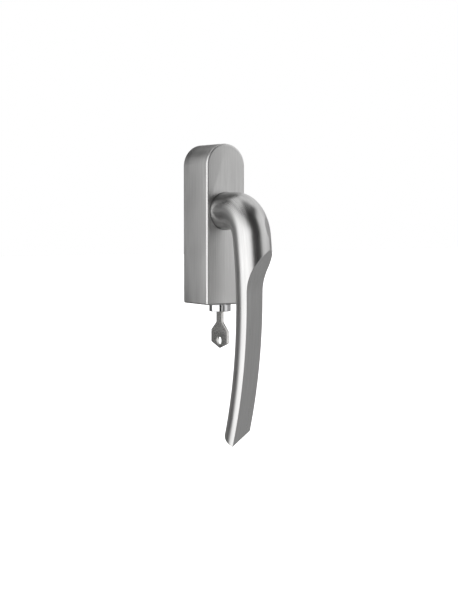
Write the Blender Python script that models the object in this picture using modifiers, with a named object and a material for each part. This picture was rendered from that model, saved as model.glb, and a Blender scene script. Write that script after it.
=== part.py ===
"""Lockable tilt and turn window handle: a cut half-round lever on a block housing with a keyed bottom lock.

Frame: metres, +Z up, -Y towards the room, +X to the right. The origin is the spindle's axis on the
mounting plane. The lever hangs down, which is the closed position.
"""

import bmesh
import bpy
from math import cos, pi, radians, sin
from mathutils import Matrix, Vector

MM = 0.001
GAP = 0.3 * MM
CUTTER_SIZE = 60.0 * MM

# Housing: a deep block with a full-round top and a square bottom
HOUSING_WIDTH = 28.0 * MM
HOUSING_DEPTH = 29.0 * MM
HOUSING_TOP = 42.5 * MM
HOUSING_BOTTOM = -59.2 * MM
SIDE_WALL = 2.2 * MM
FRONT_WALL = 4.0 * MM
BOTTOM_WALL = 3.0 * MM
EDGE_RADIUS = 2.2 * MM
HALF_WIDTH = HOUSING_WIDTH / 2
ARCH_CENTRE = HOUSING_TOP - HALF_WIDTH
FRONT_WALL_INNER = HOUSING_DEPTH - FRONT_WALL

# Lever: one bent tube, cut to a half round below the elbow
NECK_RADIUS = 11.8 * MM
TIP_RADIUS = 10.6 * MM
NECK_START = 27.4 * MM
NECK_STRAIGHT = 11.5 * MM
ELBOW_RADIUS = 18.7 * MM
ELBOW_TURN = 80.8
BOW_RADIUS = 254.0 * MM
BOW_TURN = 33.0
TAPER_FROM = 40.0 * MM
LEVER_SIDES = 44

# Flat of the lever: an outline in the plane of its own normal, walked from the elbow down
FLAT_TURN = 31.5
FLAT_START = (50.6 * MM, 12.0 * MM)
FLAT_HEADING = 34.0
FACET_RADIUS = 75.0 * MM
FACET_END = 5.9
CORNER_RADIUS = 6.0 * MM
RAMP_SLOPE = 29.6
RAMP_LENGTH = 11.0 * MM
FOOT_RADIUS = 29.0 * MM
FLAT_REACH = 53.1 * MM
FLAT_APEX = -55.0 * MM
FLAT_BOW_RADIUS = 303.0 * MM
FLAT_BOW_TURN = 22.0
FLAT_CUTTER_REACH = 95.0 * MM

# End of the lever: one slanted plane through the low corner
TIP_POINT = (-9.2 * MM, -51.4 * MM, -146.4 * MM)
TIP_SLOPE_ACROSS = 0.42
TIP_SLOPE_BACK = 0.48

# Bearings and drive
JOURNAL_RADIUS = 8.0 * MM
JOURNAL_END = 23.9 * MM
JOURNAL_HOLE_RADIUS = 9.6 * MM
TENON_RADIUS = 6.5 * MM
TENON_END = 2.0 * MM
SPINDLE_SIZE = 7.0 * MM
SPINDLE_FRONT = 35.0 * MM
SPINDLE_REAR = -16.0 * MM
SOCKET_SIZE = 7.6 * MM
LEVER_GRUB_PLACE = (0.0, -34.0 * MM, 0.0)
HOUSING_GRUB_PLACE = (0.0, -6.0 * MM, 0.0)
GRUB_RADIUS = 2.0 * MM
GRUB_HOLE_RADIUS = 2.3 * MM
GRUB_HEX_RADIUS = 1.1 * MM
HUB_RADIUS = 11.0 * MM
HUB_FRONT = 23.6 * MM
HUB_DISC_BACK = 19.6 * MM
HUB_BACK = 12.0 * MM
NOTCH_WIDTH = 5.4 * MM
NOTCH_FLOOR = 7.9 * MM
CAM_HALF = 8.1 * MM
CAM_CORNER = 10.2 * MM
CLIP_PLACE = 11.0 * MM
LEAF_THICKNESS = 0.5 * MM
LEAF_PLACE = CAM_HALF + GAP + 0.3 * MM

# Base plate and its fixings
PLATE_THICKNESS = 3.0 * MM
PLATE_FOOT = HOUSING_BOTTOM + BOTTOM_WALL + GAP
GRUB_LUG_HALF = 4.1 * MM
SCREW_HEIGHT = 21.5 * MM
LUG_RADIUS = 5.0 * MM
LUG_LENGTH = 5.0 * MM
SCREW_RADIUS = 2.4 * MM
SCREW_LENGTH = 16.0 * MM
SCREW_HEAD_RADIUS = 4.6 * MM
BEARING_RADIUS = 8.5 * MM

# Lock: a keyed plug, an upright bolt and the ramp that lifts it
LOCK_Y = -21.7 * MM
COLLAR_RADIUS = 6.95 * MM
COLLAR_BOTTOM = -63.8 * MM
BARREL_RADIUS = 5.3 * MM
BARREL_TOP = -42.0 * MM
PLUG_RADIUS = 3.6 * MM
PLUG_HEAD_RADIUS = 4.8 * MM
PLUG_HEAD_HEIGHT = 1.6 * MM
WAFER_COUNT = 5
WAFER_PITCH = 2.8 * MM
WAFER_FIRST = -59.2 * MM
WAFER_THICKNESS = 0.9 * MM
WAFER_HALF = (1.5 * MM, 3.2 * MM)
KEYWAY_HALF = (1.05 * MM, 2.75 * MM)
CAM_BASE = -39.9 * MM
RAMP_RISE = 3.2 * MM
FOLLOWER_RADIUS = 3.0 * MM
BOLT_HALF = (2.4 * MM, 1.8 * MM)
BOLT_TOP = -11.6 * MM
BOLT_FOOT = -34.4 * MM
GUIDE_LOW = -26.5 * MM
GUIDE_HIGH = -19.0 * MM

# Key: a thin plate with a notched blade and a house-shaped bow
KEY_THICKNESS = 1.5 * MM
KEY_SHOULDER = COLLAR_BOTTOM - GAP
KEY_BOW_TOP = -70.6 * MM
KEY_BOW_SIDE_TOP = -76.0 * MM
KEY_BOW_SIDE_LOW = -83.9 * MM
KEY_BOW_POINT = -87.4 * MM
KEY_SHANK_HALF = 3.6 * MM
KEY_BOW_HALF = 9.9 * MM
KEY_BLADE_HALF = 2.4 * MM
KEY_BLADE_TIP = -45.2 * MM
KEY_HOLE_RADIUS = 2.4 * MM
KEY_HOLE_HEIGHT = -82.5 * MM
KEY_CUTS = (0.4 * MM, 0.8 * MM, 0.2 * MM, 0.6 * MM, 0.4 * MM)

TOWARDS_ROOM = (pi / 2, 0.0, 0.0)

SATIN_STEEL = ((0.52, 0.52, 0.51), 0.34, 1.0)
CHROME = ((0.62, 0.62, 0.63), 0.08, 1.0)
NICKEL = ((0.50, 0.49, 0.47), 0.22, 1.0)
ZINC_STEEL = ((0.45, 0.46, 0.48), 0.40, 1.0)
SPRING_STEEL = ((0.22, 0.23, 0.25), 0.35, 1.0)
BRASS = ((0.60, 0.46, 0.20), 0.30, 1.0)
BLACK_NYLON = ((0.02, 0.02, 0.02), 0.55, 0.0)
WHITE_NYLON = ((0.75, 0.75, 0.72), 0.50, 0.0)


# ---------------------------------------------------------------- scene and objects

def clear_scene():
    for existing in list(bpy.data.objects):
        bpy.data.objects.remove(existing, do_unlink=True)


def new_collection(name):
    collection = bpy.data.collections.new(name)
    bpy.context.scene.collection.children.link(collection)
    return collection


def add_object(name, data, collection):
    obj = bpy.data.objects.new(name, data)
    collection.objects.link(obj)
    return obj


def finish(obj, look):
    """Gives a piece its own material and smooth round faces."""
    colour, roughness, metallic = look
    material = bpy.data.materials.new(obj.name)
    material.use_nodes = True
    shader = material.node_tree.nodes["Principled BSDF"]
    shader.inputs["Base Color"].default_value = (*colour, 1.0)
    shader.inputs["Roughness"].default_value = roughness
    shader.inputs["Metallic"].default_value = metallic
    obj.data.materials.clear()
    obj.data.materials.append(material)
    obj.data.shade_smooth()
    obj.data.set_sharp_from_angle(angle=radians(35))
    return obj


def body_empty(name, location):
    empty = add_object(name, None, PARTS)
    empty.location = location
    return empty


def parent_to(obj, empty):
    obj.parent = empty
    obj.location = Vector(obj.location) - Vector(empty.location)
    return obj


# ---------------------------------------------------------------- simple solids

def box(name, low, high):
    low = Vector(low)
    high = Vector(high)
    size = high - low
    shape = bmesh.new()
    bmesh.ops.create_cube(shape, size=1.0)
    bmesh.ops.scale(shape, vec=size, verts=shape.verts)
    mesh = bpy.data.meshes.new(name)
    shape.to_mesh(mesh)
    shape.free()
    obj = add_object(name, mesh, PARTS)
    obj.location = (low + high) / 2
    return obj


def turned(name, profile, location=(0, 0, 0), rotation=(0, 0, 0), steps=40, ring=False):
    """Turns (radius, height) points, listed down the outer side, about the local Z axis."""
    mesh = bpy.data.meshes.new(name)
    points = [(radius, 0.0, height) for radius, height in profile]
    edges = [(i, i + 1) for i in range(len(points) - 1)]
    if ring:
        edges.append((len(points) - 1, 0))
    mesh.from_pydata(points, edges, [])
    obj = add_object(name, mesh, PARTS)
    screw = obj.modifiers.new("turn", "SCREW")
    screw.axis = "Z"
    screw.steps = steps
    screw.render_steps = steps
    screw.use_merge_vertices = True
    screw.merge_threshold = 0.000001
    obj.location = location
    obj.rotation_euler = rotation
    bake(obj)
    return obj


def rod(name, radius, low, high, location=(0, 0, 0), rotation=(0, 0, 0), steps=32):
    """A plain cylinder from local height low to local height high."""
    shape = bmesh.new()
    bmesh.ops.create_cone(
        shape, cap_ends=True, segments=steps, radius1=radius, radius2=radius, depth=high - low,
        matrix=Matrix.Translation((0, 0, (low + high) / 2)),
    )
    mesh = bpy.data.meshes.new(name)
    shape.to_mesh(mesh)
    shape.free()
    obj = add_object(name, mesh, PARTS)
    obj.location = location
    obj.rotation_euler = rotation
    return obj


def ring_profile(outer, inner, high, low):
    return [(outer, high), (outer, low), (inner, low), (inner, high)]


def bake(obj):
    """Replaces an object's curve or modifier stack by the plain mesh that it makes."""
    bpy.context.view_layer.update()
    evaluated = obj.evaluated_get(bpy.context.evaluated_depsgraph_get())
    mesh = bpy.data.meshes.new_from_object(evaluated)
    shape = bmesh.new()
    shape.from_mesh(mesh)
    bmesh.ops.remove_doubles(shape, verts=shape.verts, dist=0.000002)
    shape.to_mesh(mesh)
    shape.free()
    if obj.type == "CURVE":
        name = obj.name
        solid = add_object(name + "_solid", mesh, obj.users_collection[0])
        solid.matrix_world = obj.matrix_world
        bpy.data.objects.remove(obj, do_unlink=True)
        solid.name = name
        return solid
    obj.modifiers.clear()
    obj.data = mesh
    return obj


def plate(name, outline, half_thickness, location=(0, 0, 0), rotation=TOWARDS_ROOM):
    """A flat outline with an even thickness, centred on its own plane."""
    curve = bpy.data.curves.new(name, "CURVE")
    curve.dimensions = "2D"
    curve.fill_mode = "BOTH"
    curve.extrude = half_thickness
    spline = curve.splines.new("POLY")
    spline.points.add(len(outline) - 1)
    for point, (across, up) in zip(spline.points, outline):
        point.co = (across, up, 0.0, 1.0)
    spline.use_cyclic_u = True
    obj = add_object(name, curve, PARTS)
    obj.location = location
    obj.rotation_euler = rotation
    return bake(obj)


def pipe(name, points, depth, sides, sizes=None):
    """A round bar along a list of points, with an optional size factor at each point."""
    curve = bpy.data.curves.new(name, "CURVE")
    curve.dimensions = "3D"
    curve.bevel_depth = depth
    curve.bevel_resolution = sides // 2 - 2
    curve.use_fill_caps = True
    curve.twist_mode = "MINIMUM"
    spline = curve.splines.new("POLY")
    spline.points.add(len(points) - 1)
    for index, place in enumerate(points):
        spline.points[index].co = (*place, 1.0)
        spline.points[index].radius = sizes[index] if sizes else 1.0
    obj = add_object(name, curve, PARTS)
    return bake(obj)


# ---------------------------------------------------------------- cutting and joining

def combine(target, tool, operation):
    modifier = target.modifiers.new(operation.lower(), "BOOLEAN")
    modifier.operation = operation
    modifier.solver = "EXACT"
    modifier.object = tool
    tool.hide_render = True
    tool.display_type = "WIRE"
    for collection in list(tool.users_collection):
        collection.objects.unlink(tool)
    CUTTERS.objects.link(tool)


def cut(target, tool):
    combine(target, tool, "DIFFERENCE")


def join(target, tool):
    combine(target, tool, "UNION")


def keep_common(target, tool):
    combine(target, tool, "INTERSECT")


def bevel(obj, width, segments=2, angle=50):
    modifier = obj.modifiers.new("edges", "BEVEL")
    modifier.width = width
    modifier.segments = segments
    modifier.limit_method = "ANGLE"
    modifier.angle_limit = radians(angle)


# ---------------------------------------------------------------- outlines

def arch_outline(inset, bottom, steps=28):
    """A rectangle with a half-round top, the housing's own outline moved in by inset."""
    radius = HALF_WIDTH - inset
    points = [(-radius, bottom), (radius, bottom)]
    for step in range(steps + 1):
        angle = pi * step / steps
        points.append((radius * cos(angle), ARCH_CENTRE + radius * sin(angle)))
    return points


def walk(start, heading, moves):
    """Points along a chain of lines and arcs.

    heading is in degrees from straight down, outward positive. A move is (length, 0) for a line or
    (radius, turn) for an arc that turns by that many degrees.
    """
    points = [Vector(start)]
    angle = radians(heading)
    for size, turn in moves:
        if turn == 0:
            points.append(points[-1] + size * Vector((sin(angle), -cos(angle))))
            continue
        steps = max(3, round(abs(turn) / 6), round(size * abs(radians(turn)) / (7 * MM)))
        sign = 1 if turn > 0 else -1
        origin = points[-1]
        for step in range(1, steps + 1):
            later = angle + radians(turn) * step / steps
            reach = sign * size * (cos(angle) - cos(later))
            drop = -sign * size * (sin(later) - sin(angle))
            points.append(origin + Vector((reach, drop)))
        angle += radians(turn)
    return points


# ---------------------------------------------------------------- housing and its fixed pieces

def build_housing():
    overshoot = 3 * MM
    depth = HOUSING_DEPTH + overshoot
    housing = plate(
        "housing", arch_outline(0, HOUSING_BOTTOM), depth / 2,
        location=(0, overshoot - depth / 2, 0),
    )
    bevel(housing, EDGE_RADIUS)
    cut(housing, box(
        "rear_trim", (-CUTTER_SIZE, 0, -2 * CUTTER_SIZE),
        (CUTTER_SIZE, CUTTER_SIZE, 2 * CUTTER_SIZE),
    ))
    cavity_depth = FRONT_WALL_INNER + overshoot
    cut(housing, plate(
        "housing_cavity", arch_outline(SIDE_WALL, HOUSING_BOTTOM + BOTTOM_WALL), cavity_depth / 2,
        location=(0, overshoot - cavity_depth / 2, 0),
    ))
    recess = NECK_START - GAP
    cut(housing, rod("neck_recess", NECK_RADIUS + GAP, recess, HOUSING_DEPTH + overshoot,
                     rotation=TOWARDS_ROOM, steps=48))
    cut(housing, rod("journal_bore", JOURNAL_HOLE_RADIUS, 20 * MM, recess + 1 * MM,
                     rotation=TOWARDS_ROOM, steps=48))
    cut(housing, rod("barrel_pocket", BARREL_RADIUS + GAP, -64 * MM, GUIDE_LOW - GAP,
                     location=(0, LOCK_Y, 0), steps=36))
    cut(housing, rod("grub_hole", GRUB_HOLE_RADIUS, -64 * MM, -54 * MM,
                     location=HOUSING_GRUB_PLACE, steps=20))
    return finish(housing, SATIN_STEEL)


def build_base_plate():
    base = plate(
        "base_plate", arch_outline(SIDE_WALL + GAP, PLATE_FOOT), PLATE_THICKNESS / 2,
        location=(0, -PLATE_THICKNESS / 2, 0),
    )
    join(base, box(
        "grub_lug", (-GRUB_LUG_HALF, -9.5 * MM, PLATE_FOOT + 0.1 * MM),
        (GRUB_LUG_HALF, -1 * MM, PLATE_FOOT + 6 * MM),
    ))
    for side, name in ((1, "upper"), (-1, "lower")):
        height = side * SCREW_HEIGHT
        join(base, rod("lug_" + name, LUG_RADIUS, -LUG_LENGTH, 1 * MM,
                       location=(0, 0, height), rotation=TOWARDS_ROOM, steps=28))
        cut(base, turned(
            "countersink_" + name,
            [(0, 6 * MM), (5.4 * MM, 6 * MM), (5.4 * MM, 2.9 * MM), (2.8 * MM, 0.3 * MM),
             (2.8 * MM, -8 * MM), (0, -8 * MM)],
            location=(0, 0, height), rotation=TOWARDS_ROOM, steps=28,
        ))
    cut(base, rod("bearing_bore", BEARING_RADIUS + GAP, -2 * MM, 6 * MM, rotation=TOWARDS_ROOM, steps=40))
    cut(base, rod("grub_thread", GRUB_HOLE_RADIUS, -60 * MM, -48 * MM,
                  location=HOUSING_GRUB_PLACE, steps=20))
    return finish(base, ZINC_STEEL)


def build_mounting_screw(name, height):
    screw = turned(
        name,
        [(0, 2.6 * MM), (SCREW_HEAD_RADIUS, 2.6 * MM), (SCREW_HEAD_RADIUS, 2.2 * MM),
         (SCREW_RADIUS, 0), (SCREW_RADIUS, -SCREW_LENGTH + 1 * MM),
         (SCREW_RADIUS - 0.8 * MM, -SCREW_LENGTH), (0, -SCREW_LENGTH)],
        location=(0, 0, height), rotation=TOWARDS_ROOM, steps=24,
    )
    cut(screw, rod(name + "_hex", 1.7 * MM, 1.0 * MM, 4 * MM,
                   location=(0, 0, height), rotation=TOWARDS_ROOM, steps=6))
    return finish(screw, ZINC_STEEL)


def build_neck_bushing():
    flange = FRONT_WALL_INNER - GAP
    front = NECK_START - 2 * GAP
    sleeve = JOURNAL_HOLE_RADIUS - GAP
    bore = JOURNAL_RADIUS + GAP
    rim = sleeve + 1.3 * MM
    bushing = turned(
        "neck_bushing",
        [(sleeve, front), (sleeve, flange), (rim, flange), (rim, flange - 0.8 * MM),
         (bore, flange - 0.8 * MM), (bore, front)],
        rotation=TOWARDS_ROOM, ring=True,
    )
    return finish(bushing, BLACK_NYLON)


def build_hub_bearing():
    seat = PLATE_THICKNESS + GAP
    bearing = turned(
        "hub_bearing",
        [(10 * MM, seat + 1.8 * MM), (10 * MM, seat), (BEARING_RADIUS, seat), (BEARING_RADIUS, GAP),
         (TENON_RADIUS + GAP, GAP), (TENON_RADIUS + GAP, seat + 1.8 * MM)],
        rotation=TOWARDS_ROOM, ring=True, steps=36,
    )
    return finish(bearing, WHITE_NYLON)


def build_gear_cage():
    """The frame that holds both leaf springs beside the square cam."""
    front = -(HUB_DISC_BACK - 2 * GAP)
    back = -HUB_BACK - 0.4 * MM
    outer = 11.4 * MM
    top = 18.4 * MM
    cage = box("gear_cage", (-outer, front, -top), (outer, back, top))
    for side in (-1, 1):
        for end in (-1, 1):
            low = (side * outer, back - 1 * MM, end * top)
            high = (side * (outer - 2.6 * MM), -PLATE_THICKNESS - GAP, end * (top - 3.6 * MM))
            corners = [tuple(pick(a, b) for a, b in zip(low, high)) for pick in (min, max)]
            join(cage, box("cage_post", corners[0], corners[1]))
    cut(cage, box(
        "cage_window", (-10.8 * MM, front - 1 * MM, -13.6 * MM),
        (10.8 * MM, back + 1 * MM, 13.6 * MM),
    ))
    for side in (-1, 1):
        middle = side * LEAF_PLACE
        cut(cage, box(
            "leaf_slot", (middle - 0.6 * MM, front + 0.3 * MM, -17.2 * MM),
            (middle + 0.6 * MM, back - 0.3 * MM, 17.2 * MM),
        ))
    return finish(cage, BLACK_NYLON)


def build_leaf_spring(name, side):
    middle = side * LEAF_PLACE
    half = LEAF_THICKNESS / 2
    leaf = box(name, (middle - half, -18.4 * MM, -16.8 * MM), (middle + half, -13.0 * MM, 16.8 * MM))
    return finish(leaf, SPRING_STEEL)


def build_lock_barrel():
    top_of_collar = HOUSING_BOTTOM - GAP
    barrel = turned(
        "lock_barrel",
        [(0, BARREL_TOP), (BARREL_RADIUS, BARREL_TOP), (BARREL_RADIUS, top_of_collar),
         (COLLAR_RADIUS, top_of_collar), (COLLAR_RADIUS, COLLAR_BOTTOM + 0.5 * MM),
         (COLLAR_RADIUS - 0.5 * MM, COLLAR_BOTTOM), (0, COLLAR_BOTTOM)],
        location=(0, LOCK_Y, 0), steps=40,
    )
    cut(barrel, turned(
        "plug_bore",
        [(0, -40 * MM), (PLUG_RADIUS + 0.2 * MM, -40 * MM),
         (PLUG_RADIUS + 0.2 * MM, COLLAR_BOTTOM + PLUG_HEAD_HEIGHT + 2 * GAP),
         (PLUG_HEAD_RADIUS + GAP, COLLAR_BOTTOM + PLUG_HEAD_HEIGHT + 2 * GAP),
         (PLUG_HEAD_RADIUS + GAP, COLLAR_BOTTOM - 2 * MM), (0, COLLAR_BOTTOM - 2 * MM)],
        location=(0, LOCK_Y, 0), steps=40,
    ))
    return finish(barrel, CHROME)


def build_barrel_fork():
    """The forked plate that is pushed round the barrel from behind and holds it in the housing."""
    front = -FRONT_WALL_INNER + GAP
    low = PLATE_FOOT
    fork = box("barrel_fork", (-9.5 * MM, front, low), (9.5 * MM, -12 * MM, low + 2.5 * MM))
    bevel(fork, 0.6 * MM, segments=1)
    cut(fork, rod("fork_mouth", BARREL_RADIUS + GAP, low - 2 * MM, low + 5 * MM, location=(0, LOCK_Y, 0)))
    return finish(fork, ZINC_STEEL)


def build_bolt_guide():
    front = -FRONT_WALL_INNER + GAP
    guide = box("bolt_guide", (-9 * MM, front, GUIDE_LOW), (9 * MM, -14 * MM, GUIDE_HIGH))
    bevel(guide, 0.8 * MM, segments=1)
    across = BOLT_HALF[0] + GAP
    along = BOLT_HALF[1] + GAP
    cut(guide, box(
        "guide_slot", (-across, LOCK_Y - along, GUIDE_LOW - 2 * MM),
        (across, LOCK_Y + along, GUIDE_HIGH + 9 * MM),
    ))
    return finish(guide, BLACK_NYLON)


def build_return_spring():
    wire = 0.3 * MM
    coil_radius = 3.2 * MM
    low = BOLT_FOOT + wire + GAP
    high = GUIDE_LOW - wire - GAP
    turns = 3
    per_turn = 14
    count = turns * per_turn
    points = []
    for step in range(count + 1):
        angle = 2 * pi * step / per_turn
        height = low + (high - low) * step / count
        points.append((coil_radius * cos(angle), LOCK_Y + coil_radius * sin(angle), height))
    spring = pipe("bolt_return_spring", points, wire, 8)
    return finish(spring, SPRING_STEEL)


def build_grub_screw(name, low, high, place):
    """A hexagon-socket grub screw with its socket at the low end."""
    grub = rod(name, GRUB_RADIUS, low, high, location=place, steps=20)
    cut(grub, rod(name + "_hex", GRUB_HEX_RADIUS, low - 2 * MM, low + GRUB_RADIUS, location=place, steps=6))
    return finish(grub, ZINC_STEEL)


def build_housing_grub_screw():
    return build_grub_screw("housing_grub_screw", -58.6 * MM, -51.4 * MM, HOUSING_GRUB_PLACE)


# ---------------------------------------------------------------- lever and what turns with it

def lever_path():
    bend = walk(
        (HOUSING_DEPTH, 0), 90,
        [(NECK_STRAIGHT, 0), (ELBOW_RADIUS, -ELBOW_TURN), (BOW_RADIUS, -BOW_TURN)],
    )
    points = [Vector((0, -NECK_START, 0))] + [Vector((0, -reach, height)) for reach, height in bend]
    return points


def lever_sizes(points):
    """Size factors along the path: full at the elbow, tapering to the tip."""
    lengths = [0.0]
    for first, second in zip(points, points[1:]):
        lengths.append(lengths[-1] + (second - first).length)
    sizes = []
    for length in lengths:
        share = max(0.0, (length - TAPER_FROM) / (lengths[-1] - TAPER_FROM))
        sizes.append(1 + share * (TIP_RADIUS / NECK_RADIUS - 1))
    return sizes


def flat_outline():
    """The region in front of the flat: across is along its normal, up is world Z."""
    upper = walk(FLAT_START, FLAT_HEADING, [
        (FACET_RADIUS, FACET_END - FLAT_HEADING),
        (CORNER_RADIUS, -RAMP_SLOPE - FACET_END),
        (RAMP_LENGTH, 0),
        (FOOT_RADIUS, RAMP_SLOPE),
    ])
    shift = Vector((FLAT_REACH, 0)) - Vector((upper[-1].x, 0))
    upper = [point + shift for point in upper]
    lower = walk((FLAT_REACH, FLAT_APEX), 0, [(FLAT_BOW_RADIUS, -FLAT_BOW_TURN)])
    far = [Vector((FLAT_CUTTER_REACH, lower[-1].y)), Vector((FLAT_CUTTER_REACH, upper[0].y))]
    return upper + lower + far


def tip_cutter():
    turn = radians(FLAT_TURN)
    across = Vector((cos(turn), sin(turn), 0))
    outward = Vector((sin(turn), -cos(turn), 0))
    up = Vector((0, 0, 1)) - TIP_SLOPE_ACROSS * across + TIP_SLOPE_BACK * outward
    up.normalize()
    cutter = box("tip_cutter", (-CUTTER_SIZE, -CUTTER_SIZE, -CUTTER_SIZE), (CUTTER_SIZE, CUTTER_SIZE, 0))
    cutter.rotation_euler = up.to_track_quat("Z", "Y").to_euler()
    cutter.location = Vector(TIP_POINT) - up * CUTTER_SIZE / 2
    return cutter


def build_lever():
    path = lever_path()
    lever = pipe("lever", path, NECK_RADIUS, LEVER_SIDES, sizes=lever_sizes(path))
    turn = radians(FLAT_TURN)
    shift = -CUTTER_SIZE * sin(turn)
    cut(lever, plate(
        "flat_cutter", flat_outline(), CUTTER_SIZE / 2, location=(shift * cos(turn), shift * sin(turn), 0),
        rotation=(pi / 2, 0, turn - pi / 2),
    ))
    cut(lever, tip_cutter())
    groove = 5.7 * MM
    join(lever, turned(
        "lever_tenon",
        [(0, NECK_START + 2 * MM), (JOURNAL_RADIUS, NECK_START + 2 * MM), (JOURNAL_RADIUS, JOURNAL_END),
         (TENON_RADIUS, JOURNAL_END), (TENON_RADIUS, CLIP_PLACE + 0.7 * MM), (groove, CLIP_PLACE + 0.7 * MM),
         (groove, CLIP_PLACE - 0.7 * MM), (TENON_RADIUS, CLIP_PLACE - 0.7 * MM),
         (TENON_RADIUS, TENON_END + 0.6 * MM), (TENON_RADIUS - 0.6 * MM, TENON_END), (0, TENON_END)],
        rotation=TOWARDS_ROOM, steps=36,
    ))
    half = SOCKET_SIZE / 2
    cut(lever, box("spindle_socket", (-half, -SPINDLE_FRONT - 1 * MM, -half), (half, 0, half)))
    cut(lever, rod("lever_grub_hole", GRUB_HOLE_RADIUS, -14 * MM, -1 * MM,
                   location=LEVER_GRUB_PLACE, steps=20))
    return finish(lever, SATIN_STEEL)


def build_spindle():
    half = SPINDLE_SIZE / 2
    spindle = box("spindle", (-half, -SPINDLE_FRONT, -half), (half, -SPINDLE_REAR, half))
    bevel(spindle, 0.4 * MM, segments=1)
    return finish(spindle, ZINC_STEEL)


def build_index_hub():
    """A notched disc for the lock's bolt, with a square cam behind it for the leaf springs."""
    hub = box("index_hub", (-CAM_HALF, -HUB_DISC_BACK - 1 * MM, -CAM_HALF), (CAM_HALF, -HUB_BACK, CAM_HALF))
    keep_common(hub, rod("cam_corners", CAM_CORNER, 0, 40 * MM, rotation=TOWARDS_ROOM, steps=48))
    join(hub, rod("hub_disc", HUB_RADIUS, HUB_DISC_BACK, HUB_FRONT, rotation=TOWARDS_ROOM, steps=48))
    cut(hub, rod("hub_bore", TENON_RADIUS + GAP, 0, 40 * MM, rotation=TOWARDS_ROOM, steps=36))
    half = NOTCH_WIDTH / 2
    for quarter in range(4):
        turn = quarter * pi / 2
        notch = box("hub_notch", (NOTCH_FLOOR, -HUB_FRONT - 1 * MM, -half),
                    (NOTCH_FLOOR + 8 * MM, -HUB_DISC_BACK + 0.2 * MM, half))
        middle = notch.location.copy()
        notch.rotation_euler = (0, turn, 0)
        notch.location = Matrix.Rotation(turn, 3, "Y") @ middle
        cut(hub, notch)
    return finish(hub, ZINC_STEEL)


def build_neck_circlip():
    clip = turned(
        "neck_circlip", ring_profile(8.4 * MM, 6.0 * MM, CLIP_PLACE + 0.4 * MM, CLIP_PLACE - 0.4 * MM),
        rotation=TOWARDS_ROOM, ring=True, steps=32,
    )
    cut(clip, box("circlip_mouth", (-3.2 * MM, -20 * MM, 0), (3.2 * MM, 0, 12 * MM)))
    return finish(clip, SPRING_STEEL)


def build_lever_grub_screw():
    tip = -SPINDLE_SIZE / 2 - GAP
    return build_grub_screw("lever_grub_screw", -11.2 * MM, tip, LEVER_GRUB_PLACE)


# ---------------------------------------------------------------- lock plug, key and bolt

def build_cylinder_plug():
    head_bottom = COLLAR_BOTTOM + GAP
    head_top = COLLAR_BOTTOM + PLUG_HEAD_HEIGHT
    shoulder = BARREL_TOP + 0.1 * MM
    neck = shoulder + 1.2 * MM
    plug = turned(
        "cylinder_plug",
        [(0, neck + 0.5 * MM), (3.1 * MM, neck + 0.5 * MM), (3.1 * MM, neck), (2.4 * MM, neck),
         (2.4 * MM, shoulder), (PLUG_RADIUS, shoulder), (PLUG_RADIUS, head_top),
         (PLUG_HEAD_RADIUS, head_top), (PLUG_HEAD_RADIUS, head_bottom), (0, head_bottom)],
        location=(0, LOCK_Y, 0), steps=36,
    )
    half = 1.5 * MM
    join(plug, box("plug_tail", (-half, LOCK_Y - half, neck), (half, LOCK_Y + half, CAM_BASE + 1.6 * MM)))
    across, along = KEYWAY_HALF
    cut(plug, box("keyway", (-across, LOCK_Y - along, COLLAR_BOTTOM - 2 * MM),
                  (across, LOCK_Y + along, KEY_BLADE_TIP + 1.2 * MM)))
    for index in range(WAFER_COUNT):
        height = wafer_height(index)
        room = WAFER_THICKNESS / 2 + GAP
        cut(plug, box(
            "wafer_window", (-WAFER_HALF[0] - GAP, LOCK_Y - 6 * MM, height - room),
            (WAFER_HALF[0] + GAP, LOCK_Y + 6 * MM, height + room),
        ))
    return finish(plug, BRASS)


def wafer_height(index):
    return WAFER_FIRST + index * WAFER_PITCH


def build_wafer(index):
    name = f"wafer_{index + 1}"
    height = wafer_height(index)
    half = WAFER_THICKNESS / 2
    wafer = box(name, (-WAFER_HALF[0], LOCK_Y - WAFER_HALF[1], height - half),
                (WAFER_HALF[0], LOCK_Y + WAFER_HALF[1], height + half))
    across, along = KEYWAY_HALF
    cut(wafer, box(name + "_hole", (-across, LOCK_Y - along, height - 1 * MM),
                   (across, LOCK_Y + along, height + 1 * MM)))
    return finish(wafer, BRASS)


def build_plug_clip():
    low = BARREL_TOP + GAP
    clip = turned(
        "plug_clip", ring_profile(4.6 * MM, 2.7 * MM, low + 0.7 * MM, low),
        location=(0, LOCK_Y, 0), ring=True, steps=28,
    )
    cut(clip, box(
        "plug_clip_mouth", (-1.4 * MM, LOCK_Y, low - 1 * MM),
        (1.4 * MM, LOCK_Y + 8 * MM, low + 2 * MM),
    ))
    return finish(clip, SPRING_STEEL)


def helical_ramp(name, inner, outer, base, low, rise, start, end):
    """A ring sector whose top climbs evenly by rise over its first quarter turn."""
    shape = bmesh.new()
    steps = 24
    rings = []
    for step in range(steps + 1):
        angle = start + (end - start) * step / steps
        climb = min(1.0, max(0.0, angle / (-pi / 2)))
        top = low + rise * climb
        corners = ((inner, base), (outer, base), (outer, top), (inner, top))
        rings.append([shape.verts.new((r * cos(angle), r * sin(angle), z)) for r, z in corners])
    for first, second in zip(rings, rings[1:]):
        for side in range(4):
            after = (side + 1) % 4
            shape.faces.new((first[side], first[after], second[after], second[side]))
    shape.faces.new(rings[0])
    shape.faces.new(rings[-1])
    bmesh.ops.recalc_face_normals(shape, faces=shape.faces)
    mesh = bpy.data.meshes.new(name)
    shape.to_mesh(mesh)
    shape.free()
    obj = add_object(name, mesh, PARTS)
    obj.location = (0, LOCK_Y, 0)
    return obj


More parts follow.
